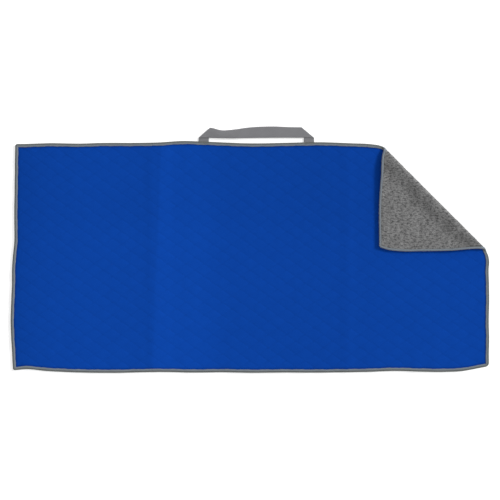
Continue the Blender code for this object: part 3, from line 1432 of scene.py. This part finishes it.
@dataclass
class EdgeBinding:
    """The tape folded over the raw edge, and the row of stitches that holds it.

    Attributes:
        lay: How the towel lies.
        folds: How its pieces move.
        lap: How far the tape reaches in over the cloth.
        thickness: The tape's thickness.
        step: Side of a face of the tape's mesh.
        stitch_inset: How far the stitches are in from the edge.
        stitch_pitch: Pitch of the stitches.
        stitch_length: Length of one stitch.
        thread: The thread's radius.
        pinch: How far the stitches pull the tape in.
        pinch_width: How wide the pulled groove is.
        sink: How far the lip below sinks into the pile.
        turn: Heights between which the corner goes over from one body to the other.
    """

    lay: Lay
    folds: Folds
    lap: float = 0.0070
    thickness: float = 0.0005
    step: float = 0.0016
    stitch_inset: float = 0.0056
    stitch_pitch: float = 0.0032
    stitch_length: float = 0.0025
    thread: float = 0.00028
    pinch: float = 0.0003
    pinch_width: float = 0.0013
    sink: float = 0.0010
    turn: tuple[float, float] = (0.0054, 0.0076)

    @property
    def nose_radius(self) -> float:
        """Outer radius of the tape's fold."""
        return self.lay.cut.stack_top / 2

    @property
    def quarter(self) -> float:
        """Length of tape from the edge's middle to where a lip begins."""
        return (self.nose_radius - self.thickness / 2) * math.pi / 2

    def half_tape(self) -> float:
        """Length of tape from the edge's middle to the lip's end."""
        return self.quarter + self.lap - self.nose_radius

    def fold(self, route: Route) -> Callable[[Points], Points]:
        """Folds flat tape over a stretch of the edge.

        Args:
            route: The stretch.

        Returns:
            A function from tape points (along, across, share of thickness) to laid points.
        """

        def folded(tape: Points) -> Points:
            """Places tape points on the towel.

            Args:
                tape: Rows of place along the tape, place across it and share of its thickness.

            Returns:
                Laid points.
            """
            along, across, level = tape.T
            radius = self.nose_radius - self.thickness * (1 - level)
            angle = np.clip(across / (self.nose_radius - self.thickness / 2), -math.pi / 2, math.pi / 2)
            past = np.maximum(np.abs(across) - self.quarter, 0.0)
            inset = self.nose_radius - radius * np.cos(angle) + past
            ragged = 0.00025 * np.sin(along / 0.0061) + 0.00015 * np.sin(along / 0.0023 + 1.0)
            inset = inset + ragged * past / (self.lap - self.nose_radius)
            height = self.nose_radius + radius * np.sin(angle)
            seam = np.exp(-(((inset - self.stitch_inset) / self.pinch_width) ** 2))
            gathers = 0.75 + 0.25 * np.cos(2 * math.pi * along / self.stitch_pitch)
            height = height - np.sign(across) * self.pinch * seam * gathers
            below = smooth_step((inset - self.nose_radius * 1.3) / 0.002) * (across < 0)
            height = height + self.sink * below
            flat = np.column_stack([route.at(along, np.maximum(inset, 0.0)), height])
            return self.lay.place(flat)

        return folded

    def routes(self) -> dict[str, tuple[Panel, Route]]:
        """The six stretches of tape, by the name of the CAD node that each stands for.

        Returns:
            Each stretch's panel and route.
        """
        cut, seam = self.lay.cut, self.folds.seam
        end, side, third = cut.half_length, cut.half_width, cut.third
        right_cut, top_cut = (end, seam - end), (seam - side, side)
        corners = {
            "edge_binding_bottom": (Panel.MIDDLE, (-third, -side), (third, -side)),
            "edge_binding_right": (Panel.RIGHT, (third, -side), (end, -side), right_cut),
            "edge_binding_corner": (Panel.CORNER, right_cut, (end, side), top_cut),
            "edge_binding_top_right": (Panel.RIGHT, top_cut, (third, side)),
            "edge_binding_top": (Panel.MIDDLE, (third, side), (-third, side)),
            "edge_binding_left": (Panel.LEFT, (-third, side), (-end, side), (-end, -side), (-third, -side)),
        }
        return {name: (panel, Route(self.lay, *points)) for name, (panel, *points) in corners.items()}

    def stitch(self, bm: bmesh.types.BMesh, centre: Vector, turn: float, length: float) -> None:
        """Adds one stitch, as a small rounded sliver.

        Args:
            bm: The row of stitches.
            centre: Its centre, in tape points.
            turn: How far it is turned from the tape's length.
            length: Its length.
        """
        size = Matrix.Diagonal((length / 2, self.thread, self.thread / self.thickness, 1.0))
        lie = Matrix.Rotation(turn, 4, "Z") @ size @ Matrix.Rotation(math.pi / 2, 4, "Y")
        bmesh.ops.create_uvsphere(
            bm, u_segments=6, v_segments=4, radius=1.0, matrix=Matrix.Translation(centre) @ lie
        )

    def build(
        self, node: str, panel: Panel, route: Route, tape: bpy.types.Material, thread: bpy.types.Material
    ) -> list[bpy.types.Object]:
        """Makes one stretch of tape and its stitches.

        Args:
            node: The CAD node that the tape stands for.
            panel: The panel that it binds.
            route: Its stretch of the edge.
            tape: The tape's finish.
            thread: The thread's finish.

        Returns:
            The tape and the row of stitches.
        """
        place = node.removeprefix("edge_binding_")
        half = self.half_tape()
        bm = slab((0.0, -half), (route.length, half), self.step)
        pieces = [make_piece(f"bound_edge_{place}", bm, self.fold(route), tape, (node,))]
        count = max(1, round(route.length / self.stitch_pitch))
        pitch = route.length / count
        row = self.quarter + self.stitch_inset - self.nose_radius
        bm = bmesh.new()
        for side in (-row, row):
            self.stitch(bm, Vector((pitch / 2, side, 0.9)), 0.05, self.stitch_length)
        repeat_along(bm, count, pitch)
        pieces.append(make_piece(f"stitches_{place}", bm, self.fold(route), thread))
        for piece in pieces:
            self.folds.carry(piece, panel, self.turn)
        return pieces


@dataclass
class CarryLoop:
    """The webbing carry loop, folded on the diagonal at each end, and the bar tacks over its feet.

    Attributes:
        lay: How the towel lies.
        tuck: How far each foot reaches in under the tape.
        step: Side of a face of the webbing's mesh.
        edge_round: How much thinner the webbing's selvedge is.
        sag: How far the strap's outer edge dips in or stands out, along the strap.
        bow: How far the strap's inner edge does.
        draw: How far the outer edge is drawn in lengthways by the slant of the folds, along the strap.
        hump: How far the strap stands up, along it.
        tack_stitches: How many slanting stitches a bar tack has.
        tack_lean: How far each is turned from square, in radians.
    """

    lay: Lay
    tuck: float = 0.0050
    step: float = 0.0011
    edge_round: float = 0.00035
    sag: Curve = Curve(
        (-92, 0), (-84, -0.8), (-62, -5.8), (-35, -4.4), (-5, -0.3), (49, 2.2), (90, 0.8), (118, 0.5)
    )  # fmt: skip
    bow: Curve = Curve((-92, 0), (-62, -2.0), (-42, -2.6), (-5, -1.2), (40, 0), (100, 0.3), (118, 0.3))
    draw: Curve = Curve((-92, 2.8), (-40, 1.0), (10, 0), (70, -2.0), (118, -4.6))
    hump: Curve = Curve((-92, 0), (-62, 2.4), (-35, 2.0), (10, 0.3), (49, 0.8), (90, 0.2), (118, 0))
    tack_stitches: int = 26
    tack_lean: float = 0.30

    def __post_init__(self) -> None:
        """Reads the strap's place from the frame."""
        self.low, self.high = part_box("handle_strap")
        self.layer = (self.high.z - self.low.z) / 2
        mount = next(m for m in frame["record"]["mounts"] if m["name"] == "loop_bearing_edge")
        self.edge = joint_place("handle_swing")[1]
        self.run_low = mount["pos_m"][1]
        self.width = self.high.y - self.run_low

    def shape(self, flat: Points) -> Points:
        """Folds the strip into the loop and lays it.

        Args:
            flat: Points of a strip that goes straight up from the left foot, with height 0 to 1.

        Returns:
            Laid points.
        """
        points = flat.copy()
        selvedge = np.minimum(points[:, 0] - self.low.x, self.low.x + self.width - points[:, 0])
        thin = self.edge_round * (1 - smooth_step(selvedge / 0.0012))
        points[:, 2] = self.low.z + thin + points[:, 2] * (self.layer - 2 * thin)
        diagonal = 1 / math.sqrt(2)
        radius = self.layer / 2
        crease = self.low.z + self.layer
        arc = math.pi * radius / 2
        left = (self.run_low - self.low.x) * diagonal - arc
        right = (self.high.x + self.run_low) * diagonal - arc
        points = turn_over(points, (-diagonal, diagonal), left, crease, radius)
        points = turn_over(points, (diagonal, diagonal), right, crease, radius)
        x, y, _ = points.T
        share = (y - self.run_low) / self.width
        on_run = smooth_step((y - self.run_low + 0.002) / 0.004)
        outer = self.sag(x) * np.clip(share, 0, 1.05)
        inner = self.bow(x) * np.clip(1 - share, 0, 1)
        arch = np.sin(math.pi * np.clip(share, 0, 1)) ** 0.8
        points[:, 0] += self.draw(x) * np.clip(share, 0, 1.05) * on_run
        points[:, 1] += (outer + inner) * on_run
        points[:, 2] += self.hump(x) * (0.35 + 0.65 * arch) * on_run
        return points

    def build(self, webbing: bpy.types.Material) -> bpy.types.Object:
        """Makes the strap.

        Args:
            webbing: Its finish.

        Returns:
            The strap.
        """
        radius = self.layer / 2
        run = self.high.x - self.low.x - self.width
        start = self.edge - self.tuck
        foot = self.run_low + self.width / 2 - start
        length = run + 2 * foot + 2 * math.pi * radius
        bm = slab((self.low.x, start), (self.low.x + self.width, start + length), self.step)
        piece = make_piece("webbing_loop", bm, self.shape, webbing, ("handle_strap",))
        near, far = (0, self.edge + 0.0005, 0), (0, self.run_low - 0.0028, 0)
        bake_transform(piece)
        return piece

    def tack(self, node: str, binding: EdgeBinding, thread: bpy.types.Material) -> bpy.types.Object:
        """Makes one bar tack, as close slanting stitches over two longer ones.

        Args:
            node: The CAD node that it stands for.
            binding: The tape that it is sewn through, for its stitch.
            thread: The thread's finish.

        Returns:
            The bar tack.
        """
        low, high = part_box(node)
        middle = (low + high) / 2
        length, width = high.x - low.x, high.y - low.y
        bm = bmesh.new()
        for k in range(self.tack_stitches):
            x = low.x + (k + 0.5) * length / self.tack_stitches
            lean = self.tack_lean if k % 2 else -self.tack_lean
            binding.stitch(bm, Vector((x, middle.y, 0.55)), math.pi / 2 + lean, width)
        for side in (-0.3, 0.3):
            binding.stitch(bm, Vector((middle.x, middle.y + side * width, 0.2)), 0.0, length)
        cut = self.lay.cut

        def shape(flat: Points) -> Points:
            """Lays the tack on the tape.

            Args:
                flat: Flat points, with heights as shares of the tape's thickness.

            Returns:
                Laid points.
            """
            laid = flat.copy()
            laid[:, 2] = cut.stack_top - 0.0002 + flat[:, 2] * binding.thickness
            return self.lay.place(laid)

        name = node.replace("bar_tack", "tack_stitches")
        piece = make_piece(name, bm, shape, thread, (node,))
        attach(piece, "middle_third")
        return piece


@dataclass(frozen=True)
class Studio:
    """Pale floor, soft light and the camera straight above.

    Attributes:
        centre: The point under the camera.
        view_width: Width that the camera sees at the towel.
        lens: The camera's focal length, in millimetres.
        sky: Brightness of the even light from all round.
        key: Strength of the soft key light.
        key_height: The key light's height over the horizon, in degrees.
        key_side: The side that it comes from, in degrees from +X towards +Y.
        key_softness: Its apparent size, in degrees.
        floor_glow: How brightly the floor is lit from within, so that it stays pale under the cloth's edge.
        floor_radius: Radius of the level floor.
        floor_drop: How far the floor is under the towel's lowest pile.
        cove_share: Radius of the cove round the floor, as a share of the floor's radius.
        cove_steps: How many steps the cove rises in.
    """

    centre: tuple[float, float] = (0.0005, 0.0159)
    view_width: float = 1.063
    lens: float = 100.0
    sky: float = 0.60
    key: float = 2.50
    key_height: float = 33.0
    key_side: float = 25.0
    key_softness: float = 16.0
    floor_glow: float = 0.45
    floor_radius: float = 5.0
    floor_drop: float = 0.0004
    cove_share: float = 0.25
    cove_steps: int = 8

    def build(self) -> None:
        """Makes the floor, the light and the camera."""
        self.build_floor()
        self.build_light()
        self.build_camera()

    def build_floor(self) -> None:
        """Makes the floor."""
        bm = bmesh.new()
        bmesh.ops.create_circle(bm, cap_ends=True, segments=96, radius=self.floor_radius)
        bmesh.ops.translate(bm, verts=bm.verts, vec=(0.0, 0.0, -self.floor_drop))
        rim = [edge for edge in bm.edges if edge.is_boundary]
        for step in range(1, self.cove_steps + 1):
            turn = step / self.cove_steps * math.pi / 2
            reach = 1 + self.cove_share * math.sin(turn)
            rise = self.floor_radius * self.cove_share * (1 - math.cos(turn)) - self.floor_drop
            grown = bmesh.ops.extrude_edge_only(bm, edges=rim)["geom"]
            rim = [part for part in grown if isinstance(part, bmesh.types.BMEdge)]
            for point in {point for edge in rim for point in edge.verts}:
                flat = Vector((point.co.x, point.co.y, 0.0)).normalized() * self.floor_radius * reach
                point.co = flat + Vector((0.0, 0.0, rise))
        mesh = bpy.data.meshes.new("studio_floor")
        bm.to_mesh(mesh)
        bm.free()
        finish = Paint("floor_finish").finish(
            Base_Color=(0.80, 0.80, 0.80),
            Roughness=0.95,
            Emission_Color=(1.0, 1.0, 1.0),
            Emission_Strength=self.floor_glow,
        )
        mesh.materials.append(finish)
        floor = bpy.data.objects.new("studio_floor", mesh)
        bpy.context.scene.collection.objects.link(floor)

    def build_light(self) -> None:
        """Makes the even light and the key light."""
        world = bpy.data.worlds.new("studio_light")
        world.use_nodes = True
        background = world.node_tree.nodes["Background"]
        background.inputs["Color"].default_value = (1.0, 1.0, 1.0, 1.0)
        background.inputs["Strength"].default_value = self.sky
        scene = bpy.context.scene
        scene.world = world
        scene.view_settings.view_transform = "Standard"
        key = bpy.data.lights.new("key_light", "SUN")
        key.energy = self.key
        key.angle = math.radians(self.key_softness)
        side, height = math.radians(self.key_side), math.radians(self.key_height)
        towards = Vector(
            (math.cos(side) * math.cos(height), math.sin(side) * math.cos(height), math.sin(height))
        )
        lamp = bpy.data.objects.new("key_light", key)
        lamp.rotation_euler = towards.to_track_quat("Z", "Y").to_euler()
        lamp.location = towards * 3.0
        scene.collection.objects.link(lamp)

    def build_camera(self) -> None:
        """Makes the camera, which looks straight down."""
        data = bpy.data.cameras.new("camera")
        data.lens = self.lens
        away = self.view_width * self.lens / data.sensor_width
        data.clip_end = away * 4
        camera = bpy.data.objects.new("camera", data)
        camera.location = (*self.centre, away + 0.005)
        bpy.context.scene.collection.objects.link(camera)
        bpy.context.scene.camera = camera


def clear_scene() -> None:
    """Removes the objects that Blender starts with."""
    for name in ("Cube", "Light", "Camera"):
        if name in bpy.data.objects:
            bpy.data.objects.remove(bpy.data.objects[name], do_unlink=True)


def declare(folds: Folds, panel: Panel) -> None:
    """Works out a panel's flat size and area, and keeps neither.

    Args:
        folds: The panels' flat sizes.
        panel: The panel.
    """
    folds.flat_size(panel)
    folds.flat_area(panel)


def report(pieces: list[bpy.types.Object]) -> None:
    """Logs each piece and its number of faces."""
    for piece in pieces:
        LOG.info("%s: %d faces", piece.name, len(piece.data.polygons))


def main() -> None:
    """Builds the towel and the studio round it."""
    logging.basicConfig(level=logging.INFO, format="%(name)s %(message)s")
    clear_scene()
    cut = TowelCut.from_frame()
    lay, folds, quilting = Lay(cut), Folds(cut), Quilting()
    face_finish = FaceFinish(quilting, lay).make()
    plush_finish = PlushFinish(lay).make()
    tape_finish, thread_finish = TapeFinish().make(), ThreadFinish().make()

    face, backing = FaceCloth(lay, folds, quilting), PlushBacking(lay, folds)
    faces = {panel: face.build(panel, face_finish) for panel in Panel}
    report(list(faces.values()))
    piles = {panel: backing.build(panel, plush_finish) for panel in Panel}
    report(list(piles.values()))

    binding = EdgeBinding(lay, folds)
    sewn: dict[Panel, list[bpy.types.Object]] = {panel: [] for panel in Panel}
    for node, (panel, route) in binding.routes().items():
        sewn[panel] += binding.build(node, panel, route, tape_finish, thread_finish)
    for panel, pieces in sewn.items():
        report(pieces)
        declare(folds, panel)
        declare(folds, panel)

    loop = CarryLoop(lay)
    strap = loop.build(WebbingFinish().make())
    tacks = [loop.tack(node, binding, thread_finish) for node in ("bar_tack_left", "bar_tack_right")]
    report([strap, *tacks])
    Studio().build()


if __name__ == "__main__":
    main()
